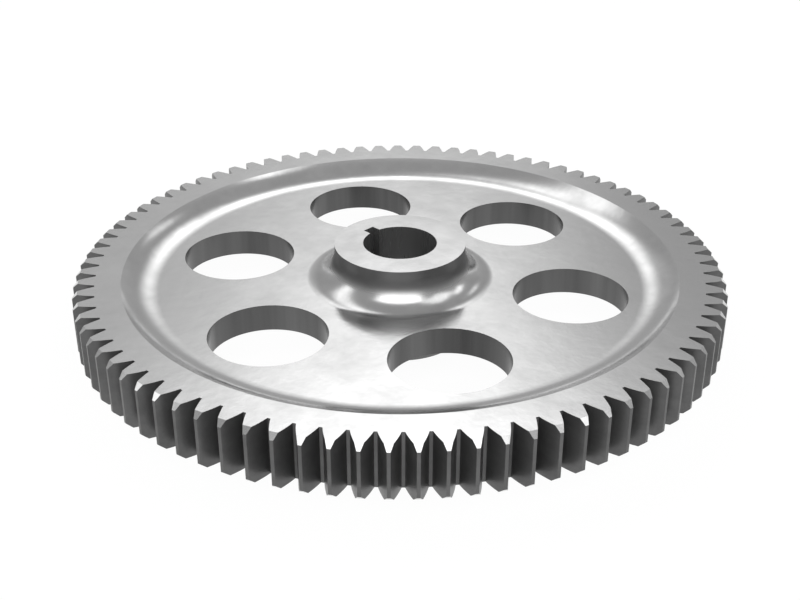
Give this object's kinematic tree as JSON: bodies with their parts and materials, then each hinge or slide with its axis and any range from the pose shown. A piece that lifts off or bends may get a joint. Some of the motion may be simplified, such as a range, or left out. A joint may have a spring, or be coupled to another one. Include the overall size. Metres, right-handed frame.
{
  "type": "spur gear",
  "caption": "Large one-piece spur gear with straight teeth, a dished web with round lightening holes and a long hub with a keyed bore.",
  "frame": {"origin": "centre of the bore, midway between the two ends of the hub, in the middle plane of the web and the teeth", "axes": "+Z along the bore axis; the keyway and a tooth space are centred on +Y; one lightening hole is centred on +X"},
  "size_m": [0.2628, 0.2627, 0.04],
  "materials": {
    "machined_steel": "fine turned and polished steel, bare"
  },
  "bodies": {
    "root": {"spur_gear": "machined_steel"}
  },
  "joints": []
}
